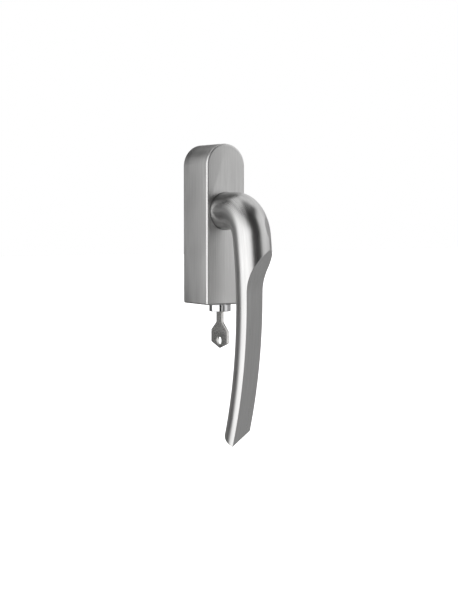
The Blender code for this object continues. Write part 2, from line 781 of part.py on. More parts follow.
def build_lock_cam():
    disc_top = CAM_BASE + 0.9 * MM
    cam = rod("lock_cam", 4.6 * MM, CAM_BASE, disc_top, location=(0, LOCK_Y, 0), steps=36)
    join(cam, helical_ramp(
        "cam_ramp", 2.5 * MM, 4.3 * MM, CAM_BASE + 0.4 * MM, disc_top, RAMP_RISE,
        start=radians(0), end=radians(-125),
    ))
    half = 1.8 * MM
    cut(cam, box(
        "cam_square", (-half, LOCK_Y - half, CAM_BASE - 2 * MM),
        (half, LOCK_Y + half, CAM_BASE + 6 * MM),
    ))
    return finish(cam, ZINC_STEEL)


def build_lock_bolt():
    across, along = BOLT_HALF
    bolt = box(
        "lock_bolt", (-across, LOCK_Y - along, GUIDE_LOW - 0.6 * MM),
        (across, LOCK_Y + along, BOLT_TOP),
    )
    bevel(bolt, 0.4 * MM, segments=1)
    foot_low = BOLT_FOOT - 1.0 * MM
    join(bolt, rod("bolt_shank", 1.6 * MM, foot_low, GUIDE_LOW + 1 * MM, location=(0, LOCK_Y, 0), steps=20))
    join(bolt, rod("bolt_foot", 4.3 * MM, foot_low, BOLT_FOOT, location=(0, LOCK_Y, 0), steps=32))
    pin_low = CAM_BASE + 0.9 * MM + 0.8 * MM
    join(bolt, rod("bolt_follower", 0.8 * MM, pin_low, foot_low + 0.5 * MM,
                   location=(FOLLOWER_RADIUS + 0.4 * MM, LOCK_Y, 0), steps=14))
    return finish(bolt, ZINC_STEEL)


def key_outline():
    """Half of the key on +across, mirrored; the blade's cuts are on both edges."""
    right = [
        (0, KEY_BOW_POINT), (KEY_BOW_HALF, KEY_BOW_SIDE_LOW), (KEY_BOW_HALF, KEY_BOW_SIDE_TOP),
        (KEY_SHANK_HALF, KEY_BOW_TOP), (KEY_SHANK_HALF, KEY_SHOULDER), (KEY_BLADE_HALF, KEY_SHOULDER),
    ]
    for index, depth in enumerate(KEY_CUTS):
        height = wafer_height(index)
        right += [
            (KEY_BLADE_HALF, height - 1.1 * MM), (KEY_BLADE_HALF - depth, height - 0.5 * MM),
            (KEY_BLADE_HALF - depth, height + 0.5 * MM), (KEY_BLADE_HALF, height + 1.1 * MM),
        ]
    right += [(KEY_BLADE_HALF, KEY_BLADE_TIP - 1.4 * MM), (KEY_BLADE_HALF - 1.4 * MM, KEY_BLADE_TIP)]
    left = [(-across, up) for across, up in reversed(right[1:])]
    return right + left


def build_key():
    key = plate(
        "key", key_outline(), KEY_THICKNESS / 2,
        location=(0, LOCK_Y, 0), rotation=(pi / 2, 0, pi / 2),
    )
    cut(key, rod("key_hole", KEY_HOLE_RADIUS, -5 * MM, 5 * MM,
                 location=(0, LOCK_Y, KEY_HOLE_HEIGHT), rotation=(0, pi / 2, 0), steps=24))
    return finish(key, NICKEL)


# ---------------------------------------------------------------- assembly

clear_scene()
PARTS = new_collection("tilt_turn_handle")
CUTTERS = new_collection("cutters")


def build_fixed_pieces():
    build_housing()
    build_base_plate()
    build_mounting_screw("mounting_screw_upper", SCREW_HEIGHT)
    build_mounting_screw("mounting_screw_lower", -SCREW_HEIGHT)
    build_neck_bushing()
    build_hub_bearing()
    build_gear_cage()
    build_leaf_spring("detent_spring_left", -1)
    build_leaf_spring("detent_spring_right", 1)
    build_lock_barrel()
    build_barrel_fork()
    build_bolt_guide()
    build_return_spring()
    build_housing_grub_screw()


def build_turning_pieces():
    axis = body_empty("handle_axis", (0, 0, 0))
    makers = (build_lever, build_spindle, build_index_hub, build_neck_circlip, build_lever_grub_screw)
    for maker in makers:
        parent_to(maker(), axis)


def build_lock_pieces():
    plug_axis = body_empty("plug_axis", (0, LOCK_Y, 0))
    pieces = [build_cylinder_plug(), build_plug_clip(), build_lock_cam(), build_key()]
    pieces += [build_wafer(index) for index in range(WAFER_COUNT)]
    for piece in pieces:
        parent_to(piece, plug_axis)
    bolt_axis = body_empty("bolt_axis", (0, LOCK_Y, 0))
    parent_to(build_lock_bolt(), bolt_axis)


build_fixed_pieces()
build_turning_pieces()
build_lock_pieces()
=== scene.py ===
"""Lockable tilt and turn window handle in brushed stainless steel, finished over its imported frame.

Metres, +Z up, -Y towards the room. The lever hangs from a neck on the spindle's axis.
"""

from math import cos, pi, radians, sin

import bmesh
import bpy
import numpy as np
from mathutils import Matrix, Vector


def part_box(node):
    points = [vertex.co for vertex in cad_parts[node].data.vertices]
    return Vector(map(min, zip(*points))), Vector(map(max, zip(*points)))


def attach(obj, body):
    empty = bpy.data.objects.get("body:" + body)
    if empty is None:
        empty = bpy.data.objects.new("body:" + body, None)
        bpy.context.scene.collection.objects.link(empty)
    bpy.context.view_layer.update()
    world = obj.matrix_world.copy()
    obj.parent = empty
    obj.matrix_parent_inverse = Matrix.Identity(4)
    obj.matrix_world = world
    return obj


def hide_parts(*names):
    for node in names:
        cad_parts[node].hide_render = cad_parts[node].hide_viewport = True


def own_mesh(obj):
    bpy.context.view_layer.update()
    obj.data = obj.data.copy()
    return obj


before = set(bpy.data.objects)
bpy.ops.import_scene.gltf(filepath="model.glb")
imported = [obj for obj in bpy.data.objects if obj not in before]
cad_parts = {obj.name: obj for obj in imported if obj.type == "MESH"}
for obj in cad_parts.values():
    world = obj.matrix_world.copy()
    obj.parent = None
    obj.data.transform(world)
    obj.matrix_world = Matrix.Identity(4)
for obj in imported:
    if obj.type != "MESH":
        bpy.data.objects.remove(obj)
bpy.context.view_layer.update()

MM = 0.001

# Housing
HOUSING_LOW, HOUSING_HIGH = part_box("housing")
HALF_WIDTH = HOUSING_HIGH.x
HOUSING_FRONT = HOUSING_LOW.y
EDGE_RADIUS = 2.2 * MM
EDGE_STEPS = 6
SCUFFED_WIDTH = 0.9 * EDGE_RADIUS
ARCH_CENTRE = HOUSING_HIGH.z - HALF_WIDTH
SIDE_WALL = 2.2 * MM
FRONT_WALL = 4.0 * MM
BOTTOM_WALL = 3.0 * MM
GAP = 0.3 * MM
JOURNAL_HOLE_RADIUS = 9.6 * MM
GRUB_HOLE_RADIUS = 2.3 * MM
HOUSING_GRUB_PLACE = (0, -6 * MM, 0)
LEVER_GRUB_PLACE = (0, -34 * MM, 0)
TOWARDS_ROOM = (pi / 2, 0, 0)

# Lever: a straight neck, an elbow and a long bow, walked by heading from straight down
NECK_RADIUS = 11.8 * MM
TIP_RADIUS = 10.6 * MM
NECK_START = 27.4 * MM
TAPER_FROM = 40.0 * MM
LEVER_WALK = ((13.1 * MM, 0.0), (18.7 * MM, -80.8), (254.0 * MM, -33.0))

# Flat of the lever: how far out it lies at each height, walked from the elbow down
FLAT_TURN = radians(31.5)
FLAT_START = (50.6 * MM, 12.0 * MM)
FLAT_HEADING = 34.0
FLAT_WALK = ((75.0 * MM, -28.1), (6.0 * MM, -35.5), (11.0 * MM, 0.0), (29.0 * MM, 29.6))
FLAT_REACH = 53.1 * MM
FLAT_APEX = -55.0 * MM
FLAT_BOW = (303.0 * MM, -22.0)
CREASE_WIDTH = 0.30 * MM
SLIGHTEST_FLAT = radians(2.4)
PATH_STEP = 0.1 * MM

# Behind the neck, (radius, distance in front of the sash) from its inner end to the tenon's end
TENON_STEPS = tuple((radius * MM, reach * MM) for radius, reach in (
    (11.5, 27.4), (8.0, 27.4), (8.0, 23.9), (6.5, 23.9), (6.5, 11.7), (5.7, 11.7),
    (5.7, 10.3), (6.5, 10.3), (6.5, 2.6), (5.9, 2.0),
))
SOCKET_HALF = 3.8 * MM
SOCKET_REACHES = (2.0 * MM, 36.0 * MM)

# End of the lever
CLOSING_FROM = 8 * MM
CLOSING_RINGS = 26
TIP_POINT = Vector((-9.2 * MM, -51.4 * MM, -146.4 * MM))
TIP_ACROSS = 0.42
TIP_BACK = 0.48

# Lock and key
LOCK_Y = -21.7 * MM
COLLAR_TOP = -59.5 * MM
COLLAR_BOTTOM = -63.8 * MM
COLLAR_RADIUS = 6.95 * MM
COLLAR_ROUNDING = 0.45 * MM
COLLAR_BREAK = 0.15 * MM
BARREL_RADIUS = 5.3 * MM
BARREL_TOP = -42.0 * MM
BARREL_POCKET_TOP = -26.8 * MM
PLUG_BORE = 3.8 * MM
PLUG_HEAD_BORE = 5.1 * MM
PLUG_HEAD_DEPTH = 2.2 * MM

# Key, in millimetres: half of its outline up to the blade, the blade's cuts and the hanging hole
KEY_HALF_THICKNESS = 0.75
KEY_EDGE = 0.42
KEY_BODY = ((0, -87.4), (9.9, -83.9), (9.9, -76.0), (3.6, -70.6), (3.6, -64.1), (2.4, -64.1))
KEY_BLADE_HALF = 2.4
KEY_CUTS = (0.4, 0.8, 0.2, 0.6, 0.4)
KEY_FIRST_CUT = -59.2
KEY_CUT_PITCH = 2.8
KEY_TIP = ((2.4, -46.6), (1.0, -45.2))
KEY_HOLE_RADIUS = 2.4
KEY_HOLE_HEIGHT = -82.5
KEY_HOLE_SIDES = 40

# Coils
SPRING_WIRE = 0.3 * MM
SPRING_RADIUS = 3.2 * MM
SPRING_TURNS = 3.0
SCREW_HEIGHT = 21.5 * MM
THREAD_START = 15 * MM
THREAD_RADIUS = 2.36 * MM
THREAD_WIRE = 0.34 * MM
THREAD_LENGTH = 13.2 * MM
THREAD_TURNS = 11.0

FLAT_NORMAL = Vector((sin(FLAT_TURN), -cos(FLAT_TURN), 0))


# ---------------------------------------------------------------- nodes and materials

SCUFFED_SHADE = (0.64, 0.636, 0.63)


def add_node(tree, kind, inputs=None, **settings):
    """A node with its settings, and each input either linked or given a value."""
    node = tree.nodes.new(kind)
    for setting, value in settings.items():
        setattr(node, setting, value)
    for socket, value in (inputs or {}).items():
        target = node.inputs[socket]
        if isinstance(value, bpy.types.NodeSocket):
            tree.links.new(value, target)
        else:
            target.default_value = value
    return node


def new_material(name):
    material = bpy.data.materials.new(name)
    material.use_nodes = True
    tree = material.node_tree
    shader = tree.nodes["Principled BSDF"]
    return material, tree, shader


def noise(tree, vector, scale, detail=3.0, roughness=0.5):
    """A noise pattern whose grains are 1 / scale metres along each axis."""
    spread = add_node(tree, "ShaderNodeMapping", {"Vector": vector, "Scale": scale})
    pattern = add_node(tree, "ShaderNodeTexNoise", {
        "Vector": spread.outputs["Vector"], "Scale": 1.0, "Detail": detail, "Roughness": roughness,
    })
    return pattern.outputs["Fac"]


def between(tree, factor, low, high, start=0.3, end=0.7):
    """A number from low to high as factor goes from start to end."""
    ranged = add_node(tree, "ShaderNodeMapRange", {
        "Value": factor, "From Min": start, "From Max": end, "To Min": low, "To Max": high,
    })
    return ranged.outputs["Result"]


def mixed_colour(tree, factor, first, second):
    mix = add_node(tree, "ShaderNodeMix", {"Factor": factor}, data_type="RGBA")
    for socket, value in (("A", first), ("B", second)):
        target = [s for s in mix.inputs if s.name == socket and s.type == "RGBA"][0]
        if isinstance(value, bpy.types.NodeSocket):
            tree.links.new(value, target)
        else:
            target.default_value = (*value, 1.0)
    return [s for s in mix.outputs if s.type == "RGBA"][0]


def arithmetic(tree, operation, first, second):
    return add_node(tree, "ShaderNodeMath", {0: first, 1: second}, operation=operation).outputs[0]


def own_coordinates(tree):
    return add_node(tree, "ShaderNodeTexCoord").outputs["Object"]


def attribute(tree, name, output):
    return add_node(tree, "ShaderNodeAttribute", attribute_name=name).outputs[output]


def brushed_steel(name, roughness, shade, along_attribute=None, spread=0.0):
    """Satin steel with fine brush lines, broad soft streaks and scuffed edges.

    The lines follow a stored place along the piece, or else its own flat map, and spread widens the
    shine across them.
    """
    material, tree, shader = new_material(name)
    if along_attribute:
        place = attribute(tree, along_attribute, "Vector")
    else:
        flat_place = add_node(tree, "ShaderNodeUVMap", uv_map="brush").outputs["UV"]
        stood_up = add_node(tree, "ShaderNodeMapping", {"Vector": flat_place, "Rotation": (pi / 2, 0, 0)})
        place = stood_up.outputs["Vector"]
    lines = noise(tree, place, (5200, 5200, 90), detail=4.0, roughness=0.65)
    streaks = noise(tree, place, (1100, 1100, 22), detail=3.0, roughness=0.6)
    bloom = noise(tree, place, (70, 70, 45), detail=2.0)
    worn = attribute(tree, "edge", "Fac")
    fine = arithmetic(tree, "MULTIPLY", lines, 0.45)
    brushing = arithmetic(tree, "ADD", fine, arithmetic(tree, "MULTIPLY", streaks, 0.55))
    dark = (shade[0], shade[0] * 0.995, shade[0] * 0.985)
    light = (shade[1], shade[1] * 0.998, shade[1] * 0.99)
    ground = mixed_colour(tree, between(tree, brushing, 0.0, 1.0), dark, light)
    dulled = mixed_colour(tree, arithmetic(tree, "MULTIPLY", worn, 0.4), ground, SCUFFED_SHADE)
    tree.links.new(dulled, shader.inputs["Base Color"])
    satin = between(tree, brushing, roughness[0], roughness[1])
    clouded = arithmetic(tree, "ADD", satin, between(tree, bloom, -0.025, 0.025))
    scuffed = arithmetic(tree, "ADD", clouded, arithmetic(tree, "MULTIPLY", worn, 0.07))
    tree.links.new(scuffed, shader.inputs["Roughness"])
    bump = add_node(tree, "ShaderNodeBump", {"Height": lines, "Strength": 0.07, "Distance": 0.02 * MM})
    tree.links.new(bump.outputs["Normal"], shader.inputs["Normal"])
    shader.inputs["Metallic"].default_value = 1.0
    if spread:
        across = add_node(tree, "ShaderNodeTangent", direction_type="UV_MAP", uv_map="brush")
        tree.links.new(across.outputs["Tangent"], shader.inputs["Tangent"])
        shader.inputs["Anisotropic"].default_value = spread
    return material


def plated_metal(name, colour, roughness, grain=1400.0, relief=0.12):
    """Plated or polished metal with fine pits, a soft bloom and light handling marks."""
    material, tree, shader = new_material(name)
    place = own_coordinates(tree)
    grains = noise(tree, place, (grain, grain, grain), detail=4.0, roughness=0.6)
    marks = noise(tree, place, (500, 2600, 350), detail=3.0, roughness=0.7)
    bloom = noise(tree, place, (120, 120, 120), detail=2.0)
    fine = arithmetic(tree, "MULTIPLY", grains, 0.5)
    tone = arithmetic(tree, "ADD", fine, arithmetic(tree, "MULTIPLY", bloom, 0.5))
    dark = tuple(0.86 * part for part in colour)
    ground = mixed_colour(tree, between(tree, tone, 0.0, 1.0), dark, colour)
    tree.links.new(ground, shader.inputs["Base Color"])
    satin = between(tree, grains, 0.8 * roughness, 1.2 * roughness)
    marked = arithmetic(tree, "ADD", satin, between(tree, marks, 0.0, 0.25 * roughness, start=0.55, end=0.75))
    tree.links.new(marked, shader.inputs["Roughness"])
    bump = add_node(tree, "ShaderNodeBump", {"Height": grains, "Strength": relief, "Distance": 0.02 * MM})
    tree.links.new(bump.outputs["Normal"], shader.inputs["Normal"])
    shader.inputs["Metallic"].default_value = 1.0
    return material


def moulded_nylon(name, colour, roughness):
    """Moulded plastic with a fine spark-eroded texture and faint flow marks."""
    material, tree, shader = new_material(name)
    place = own_coordinates(tree)
    texture = noise(tree, place, (3200, 3200, 3200), detail=2.0)
    flow = noise(tree, place, (160, 160, 90), detail=3.0)
    light = tuple(min(1.0, 1.25 * part + 0.01) for part in colour)
    ground = mixed_colour(tree, between(tree, flow, 0.0, 1.0), colour, light)
    tree.links.new(ground, shader.inputs["Base Color"])
    spark = between(tree, texture, roughness - 0.08, roughness + 0.08)
    rough = arithmetic(tree, "ADD", spark, between(tree, flow, -0.03, 0.03))
    tree.links.new(rough, shader.inputs["Roughness"])
    bump = add_node(tree, "ShaderNodeBump", {"Height": texture, "Strength": 0.25, "Distance": 0.03 * MM})
    tree.links.new(bump.outputs["Normal"], shader.inputs["Normal"])
    shader.inputs["Specular IOR Level"].default_value = 0.45
    return material


# Painted light: the housing's steel gets a lighter base colour than the lever's steel, though both are one
# brushed steel. The lighter colour stands in for light on the housing's face and sides.
HOUSING_STEEL_PAINTED_LIGHTER = brushed_steel("housing_steel", (0.29, 0.36), (0.57, 0.79), spread=0.3)
LEVER_STEEL = brushed_steel("lever_steel", (0.28, 0.32), (0.47, 0.65), along_attribute="grain")
COLLAR_CHROME = plated_metal("collar_chrome", (0.80, 0.80, 0.81), 0.07, relief=0.03)
# Painted light: the key's nickel is given a light base colour that brightens its face in place of light.
KEY_NICKEL = plated_metal("key_nickel", (0.82, 0.81, 0.79), 0.27, grain=2200)
ZINC_STEEL = plated_metal("zinc_steel", (0.56, 0.57, 0.59), 0.36)
SPRING_STEEL = plated_metal("spring_steel", (0.27, 0.28, 0.30), 0.32)
BRASS = plated_metal("brass", (0.68, 0.52, 0.24), 0.28)
BLACK_NYLON = moulded_nylon("black_nylon", (0.018, 0.018, 0.019), 0.5)
WHITE_NYLON = moulded_nylon("white_nylon", (0.70, 0.70, 0.67), 0.45)


# ---------------------------------------------------------------- meshes

def new_piece(name, mesh, material=None):
    piece = bpy.data.objects.new(name, mesh)
    bpy.context.scene.collection.objects.link(piece)
    if material:
        mesh.materials.clear()
        mesh.materials.append(material)
    return piece


def settle(piece, material=None, angle=35):
    """Turns a piece's curve, nodes or modifiers into one plain mesh at the origin, smooth up to an angle."""
    bpy.context.view_layer.update()
    seen = piece.evaluated_get(bpy.context.evaluated_depsgraph_get())
    mesh = bpy.data.meshes.new_from_object(seen)
    mesh.transform(piece.matrix_world)
    name = piece.name
    bpy.data.objects.remove(piece, do_unlink=True)
    shape = bmesh.new()
    shape.from_mesh(mesh)
    bmesh.ops.remove_doubles(shape, verts=shape.verts, dist=0.000001)
    bmesh.ops.recalc_face_normals(shape, faces=shape.faces)
    shape.to_mesh(mesh)
    shape.free()
    mesh.name = name
    mesh.shade_smooth()
    mesh.set_sharp_from_angle(angle=radians(angle))
    return new_piece(name, mesh, material)


def carve(piece, tool):
    """Cuts a piece by a tool, which is used up."""
    modifier = piece.modifiers.new("carve", "BOOLEAN")
    modifier.operation = "DIFFERENCE"
    modifier.solver = "EXACT"
    modifier.object = tool
    name = piece.name
    carved = settle(piece)
    bpy.data.objects.remove(tool, do_unlink=True)
    carved.name = name
    return carved


def rod(name, radius, low, high, place=(0, 0, 0), turn=(0, 0, 0), sides=64):
    shape = bmesh.new()
    bmesh.ops.create_cone(
        shape, cap_ends=True, segments=sides, radius1=radius, radius2=radius, depth=high - low,
        matrix=Matrix.Translation((0, 0, (low + high) / 2)),
    )
    mesh = bpy.data.meshes.new(name)
    shape.to_mesh(mesh)
    shape.free()
    piece = new_piece(name, mesh)
    piece.location = place
    piece.rotation_euler = turn
    return piece


def turned(name, profile, place, sides=96):
    """A closed (radius, height) outline turned about a vertical axis through place."""
    count = len(profile)
    points = []
    for side in range(sides):
        angle = 2 * pi * side / sides
        points += [(place[0] + r * cos(angle), place[1] + r * sin(angle), z) for r, z in profile]
    faces = []
    for side in range(sides):
        after = (side + 1) % sides
        for index in range(count):
            later = (index + 1) % count
            here, there = side * count, after * count
            faces.append((here + index, there + index, there + later, here + later))
    mesh = bpy.data.meshes.new(name)
    mesh.from_pydata(points, [], faces)
    return new_piece(name, mesh)


def node_tree(name, inputs):
    """A geometry node tree with named inputs, and its ends."""
    tree = bpy.data.node_groups.new(name, "GeometryNodeTree")
    for label, kind in inputs:
        tree.interface.new_socket(label, in_out="INPUT", socket_type=kind)
    tree.interface.new_socket("Geometry", in_out="OUTPUT", socket_type="NodeSocketGeometry")
    return tree, tree.nodes.new("NodeGroupInput"), tree.nodes.new("NodeGroupOutput")


def from_nodes(name, tree, values):
    """A piece made by a node tree with these named sizes."""
    piece = new_piece(name, bpy.data.meshes.new(name))
    modifier = piece.modifiers.new("make", "NODES")
    modifier.node_group = tree
    for item in tree.interface.items_tree:
        if item.item_type == "SOCKET" and item.in_out == "INPUT":
            modifier[item.identifier] = values[item.name]
    return piece


def end_tree(tree, result, material, output):
    realized = add_node(tree, "GeometryNodeRealizeInstances", {"Geometry": result})
    finished = add_node(tree, "GeometryNodeSetMaterial", {
        "Geometry": realized.outputs["Geometry"], "Material": material,
    })
    tree.links.new(finished.outputs["Geometry"], output.inputs["Geometry"])


# ---------------------------------------------------------------- housing

def arched_block_tree():
    """A disc whose lower half is squared off and drawn down, then given its depth."""
    tree, given, output = node_tree("arched_block", (
        ("Half Width", "NodeSocketFloat"), ("Arch Centre", "NodeSocketFloat"), ("Bottom", "NodeSocketFloat"),
        ("Front", "NodeSocketFloat"), ("Depth", "NodeSocketFloat"), ("Sides", "NodeSocketInt"),
        ("Finish", "NodeSocketMaterial"),
    ))
    sizes = given.outputs

    def math(operation, first, second):
        return arithmetic(tree, operation, first, second)

    def choose(factor, first, second):
        return add_node(tree, "ShaderNodeMix", {0: factor, 2: first, 3: second}, data_type="FLOAT").outputs[0]

    disc = add_node(tree, "GeometryNodeMeshCircle", {
        "Vertices": sizes["Sides"], "Radius": sizes["Half Width"],
    }, fill_type="NGON")
    place = add_node(tree, "GeometryNodeInputPosition")
    parts = add_node(tree, "ShaderNodeSeparateXYZ", {"Vector": place.outputs[0]}).outputs
    longest = math("MAXIMUM", math("ABSOLUTE", parts["X"], 0.0), math("ABSOLUTE", parts["Y"], 0.0))
    square_x = math("MULTIPLY", math("DIVIDE", parts["X"], longest), sizes["Half Width"])
    drop = math("SUBTRACT", sizes["Arch Centre"], sizes["Bottom"])
    square_y = math("MULTIPLY", math("DIVIDE", parts["Y"], longest), drop)
    is_low = math("LESS_THAN", parts["Y"], -0.000001)
    across = choose(is_low, parts["X"], square_x)
    up = choose(is_low, parts["Y"], square_y)
    raised = math("ADD", up, sizes["Arch Centre"])
    outline = add_node(tree, "ShaderNodeCombineXYZ", {"X": across, "Y": sizes["Front"], "Z": raised})
    front = add_node(tree, "GeometryNodeSetPosition", {
        "Geometry": disc.outputs["Mesh"], "Position": outline.outputs[0],
    })
    offset = add_node(tree, "ShaderNodeCombineXYZ", {"X": 0.0, "Y": sizes["Depth"], "Z": 0.0})
    drawn = add_node(tree, "GeometryNodeExtrudeMesh", {
        "Mesh": front.outputs["Geometry"], "Offset": offset.outputs[0], "Offset Scale": 1.0,
        "Individual": False,
    })
    turned_out = add_node(tree, "GeometryNodeFlipFaces", {"Mesh": drawn.outputs["Mesh"]})
    joined = add_node(tree, "GeometryNodeJoinGeometry")
    tree.links.new(turned_out.outputs["Mesh"], joined.inputs[0])
    tree.links.new(front.outputs["Geometry"], joined.inputs[0])
    merged = add_node(tree, "GeometryNodeMergeByDistance", {
        "Geometry": joined.outputs[0], "Distance": 0.000001,
    })
    end_tree(tree, merged.outputs["Geometry"], sizes["Finish"], output)
    return tree


def arched_block(name, tree, inset, bottom, front, back, sides=128):
    return from_nodes(name, tree, {
        "Half Width": HALF_WIDTH - inset, "Arch Centre": ARCH_CENTRE, "Bottom": bottom,
        "Front": front, "Depth": back - front, "Sides": sides, "Finish": HOUSING_STEEL_PAINTED_LIGHTER,
    })


def make_housing():
    tree = arched_block_tree()
    block = arched_block("housing_cover", tree, 0, HOUSING_LOW.z, HOUSING_FRONT, 3 * MM)
    rounding = block.modifiers.new("edges", "BEVEL")
    rounding.width = EDGE_RADIUS
    rounding.segments = EDGE_STEPS
    rounding.limit_method = "ANGLE"
    rounding.angle_limit = radians(50)
    cover = settle(block)
    cover = carve(cover, arched_block("rear_trim", tree, -20 * MM, -90 * MM, 0, 10 * MM))
    floor = HOUSING_LOW.z + BOTTOM_WALL
    cover = carve(cover, arched_block("hollow", tree, SIDE_WALL, floor, HOUSING_FRONT + FRONT_WALL, 5 * MM))
    recess = NECK_START - GAP
    holes = (
        ("neck_recess", NECK_RADIUS + GAP, recess, 32 * MM, (0, 0, 0), TOWARDS_ROOM, 96),
        ("journal_bore", JOURNAL_HOLE_RADIUS, 20 * MM, recess + 1 * MM, (0, 0, 0), TOWARDS_ROOM, 96),
        ("barrel_pocket", BARREL_RADIUS + GAP, -64 * MM, BARREL_POCKET_TOP, (0, LOCK_Y, 0), (0, 0, 0), 64),
        ("grub_hole", GRUB_HOLE_RADIUS, -64 * MM, -54 * MM, HOUSING_GRUB_PLACE, (0, 0, 0), 32),
    )
    for hole in holes:
        cover = carve(cover, rod(*hole))
    cover = settle(cover, HOUSING_STEEL_PAINTED_LIGHTER)
    mark_housing_edges(cover.data)
    lay_brush_lines(cover.data)
    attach(cover, "base")
    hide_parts("housing")


def mark_housing_edges(mesh):
    """Marks the rounded front edges, which hands scuff."""
    worn = mesh.attributes.new("edge", "FLOAT", "POINT")
    for vertex in mesh.vertices:
        place = vertex.co
        if place.z > ARCH_CENTRE:
            inside = HALF_WIDTH - Vector((place.x, place.z - ARCH_CENTRE)).length
        else:
            inside = min(HALF_WIDTH - abs(place.x), place.z - HOUSING_LOW.z)
        near_front = place.y < HOUSING_FRONT + SCUFFED_WIDTH
        worn.data[vertex.index].value = 1.0 if near_front and inside < SCUFFED_WIDTH else 0.0


def lay_brush_lines(mesh):
    """A map whose first axis lies across the brush lines: sideways in front, front to back on the sides."""
    brush = mesh.uv_layers.new(name="brush")
    for face in mesh.polygons:
        in_front = abs(face.normal.y) > 0.7
        for corner in face.loop_indices:
            place = mesh.vertices[mesh.loops[corner].vertex_index].co
            climb = place.z
            if place.z > ARCH_CENTRE and not in_front:
                climb = ARCH_CENTRE + HALF_WIDTH * np.arctan2(place.z - ARCH_CENTRE, abs(place.x))
            brush.data[corner].uv = (place.x if in_front else place.y, climb)


# ---------------------------------------------------------------- lever

def walk(start, heading, moves, step):
    """Points, headings and lengths along moves, each (length, 0) or (radius, turn in degrees)."""
    place = Vector(start)
    angle = radians(heading)
    points, headings, lengths = [place.copy()], [angle], [0.0]
    for size, turn in moves:
        turn = radians(turn)
        length = size if turn == 0 else size * abs(turn)
        count = max(2, round(length / step))
        for _ in range(count):
            after = angle + turn / count
            middle = (angle + after) / 2
            half = turn / count / 2
            stride = length / count * (sin(half) / half if half else 1)
            place = place + stride * Vector((sin(middle), -cos(middle)))
            angle = after
            points.append(place.copy())
            headings.append(angle)
            lengths.append(lengths[-1] + length / count)
    return points, headings, lengths


def flat_reaches():
    """Heights, falling, and how far out the flat lies at each."""
    upper = walk(FLAT_START, FLAT_HEADING, FLAT_WALK, PATH_STEP)[0]
    lower = walk((FLAT_REACH, FLAT_APEX), 0, (FLAT_BOW,), 5 * PATH_STEP)[0]
    shift = FLAT_REACH - upper[-1].x
    rise = 12 * MM
    slant = sin(radians(FLAT_HEADING)) / cos(radians(FLAT_HEADING))
    above = [(FLAT_START[0] - rise * slant, FLAT_START[1] + rise)]
    pairs = [(x + shift, z) for x, z in above + [tuple(p) for p in upper]] + [tuple(p) for p in lower]
    reaches = np.array([x for x, _ in pairs])
    heights = np.array([z for _, z in pairs])
    return heights, reaches


class Lever:
    """The lever's tube, and the flat that is cut from it."""

    def __init__(self):
        points, headings, lengths = walk((NECK_START, 0), 90, LEVER_WALK, PATH_STEP)
        self.centres = np.array([(0.0, -reach, height) for reach, height in points])
        self.headings = np.array(headings)
        self.lengths = np.array(lengths)
        self.total = lengths[-1]
        self.heights, self.reaches = flat_reaches()
        self.normal = np.array(FLAT_NORMAL)

    def frame(self, length):
        centre = np.array([np.interp(length, self.lengths, self.centres[:, axis]) for axis in range(3)])
        heading = np.interp(length, self.lengths, self.headings)
        outward = np.array((0.0, -cos(heading), sin(heading)))
        share = max(0.0, (length - TAPER_FROM) / (self.total - TAPER_FROM))
        radius = NECK_RADIUS + share * (TIP_RADIUS - NECK_RADIUS)
        return centre, outward, radius

    def on_tube(self, length, angles):
        centre, outward, radius = self.frame(length)
        side = np.array((1.0, 0.0, 0.0))
        return centre + radius * (np.cos(angles)[:, None] * outward + np.sin(angles)[:, None] * side)

    def excess(self, points):
        """How far points stand out past the flat."""
        limit = np.interp(-points[:, 2], -self.heights, self.reaches, left=1.0)
        return points @ self.normal - limit

    def surface(self, length, angles):
        points = self.on_tube(length, angles)
        over = np.maximum(self.excess(points), 0.0)
        return points - over[:, None] * self.normal

    def crease(self, length):
        """The angles between which the tube is cut away, which are equal where it isn't cut."""
        _, outward, _ = self.frame(length)
        middle = np.arctan2(self.normal[0], outward @ self.normal)
        angles = middle + np.linspace(-pi, pi, 721)
        over = self.excess(self.on_tube(length, angles))
        peak = int(np.argmax(over))
        if over[peak] <= 0:
            return angles[peak], angles[peak]
        first, last = peak, peak
        while over[first - 1] > 0:
            first -= 1
        while over[last + 1] > 0:
            last += 1
        low = np.interp(0.0, (over[first - 1], over[first]), (angles[first - 1], angles[first]))
        high = np.interp(0.0, (over[last + 1], over[last]), (angles[last + 1], angles[last]))
        return low, high

    def ring(self, length, flat_count=22, round_count=76, soft_steps=4):
        """One closed ring of points: across the flat, round its soft crease, round the back and home."""
        low, high = self.crease(length)
        _, _, radius = self.frame(length)
        opened = high - low
        if opened < SLIGHTEST_FLAT:
            middle = (low + high) / 2
            low, high = middle - SLIGHTEST_FLAT / 2, middle + SLIGHTEST_FLAT / 2
        soft = min(CREASE_WIDTH / radius, 0.2 * opened)
        pace = np.linspace(0, 1, flat_count)
        pace = 0.5 - 0.5 * np.cos(pi * pace)
        flat = self.surface(length, low + soft + pace * (high - low - 2 * soft))
        back_low, back_high = high + soft, low - soft + 2 * pi
        pace = np.linspace(0, 1, round_count)
        pace = 0.5 * pace + 0.5 * (0.5 - 0.5 * np.cos(pi * pace))
        back = self.surface(length, back_low + pace * (back_high - back_low))
        corners = self.surface(length, np.array((high, low)))
        steps = np.linspace(0, 1, soft_steps + 1)[1:-1, None]

        def soften(first, corner, last):
            return (1 - steps) ** 2 * first + 2 * steps * (1 - steps) * corner + steps ** 2 * last

        right = soften(flat[-1], corners[0], back[0])
        left = soften(back[-1], corners[1], flat[0])
        worn = np.concatenate((
            np.zeros(flat_count), np.ones(len(right)), np.zeros(round_count), np.ones(len(left)),
        ))
        worn *= 1.0 if opened > SLIGHTEST_FLAT else 0.0
        return np.concatenate((flat, right, back, left)), worn


def tip_plane():
    across = Vector((cos(FLAT_TURN), sin(FLAT_TURN), 0))
    up = Vector((0, 0, 1)) - TIP_ACROSS * across + TIP_BACK * FLAT_NORMAL
    return np.array(TIP_POINT), np.array(up.normalized())


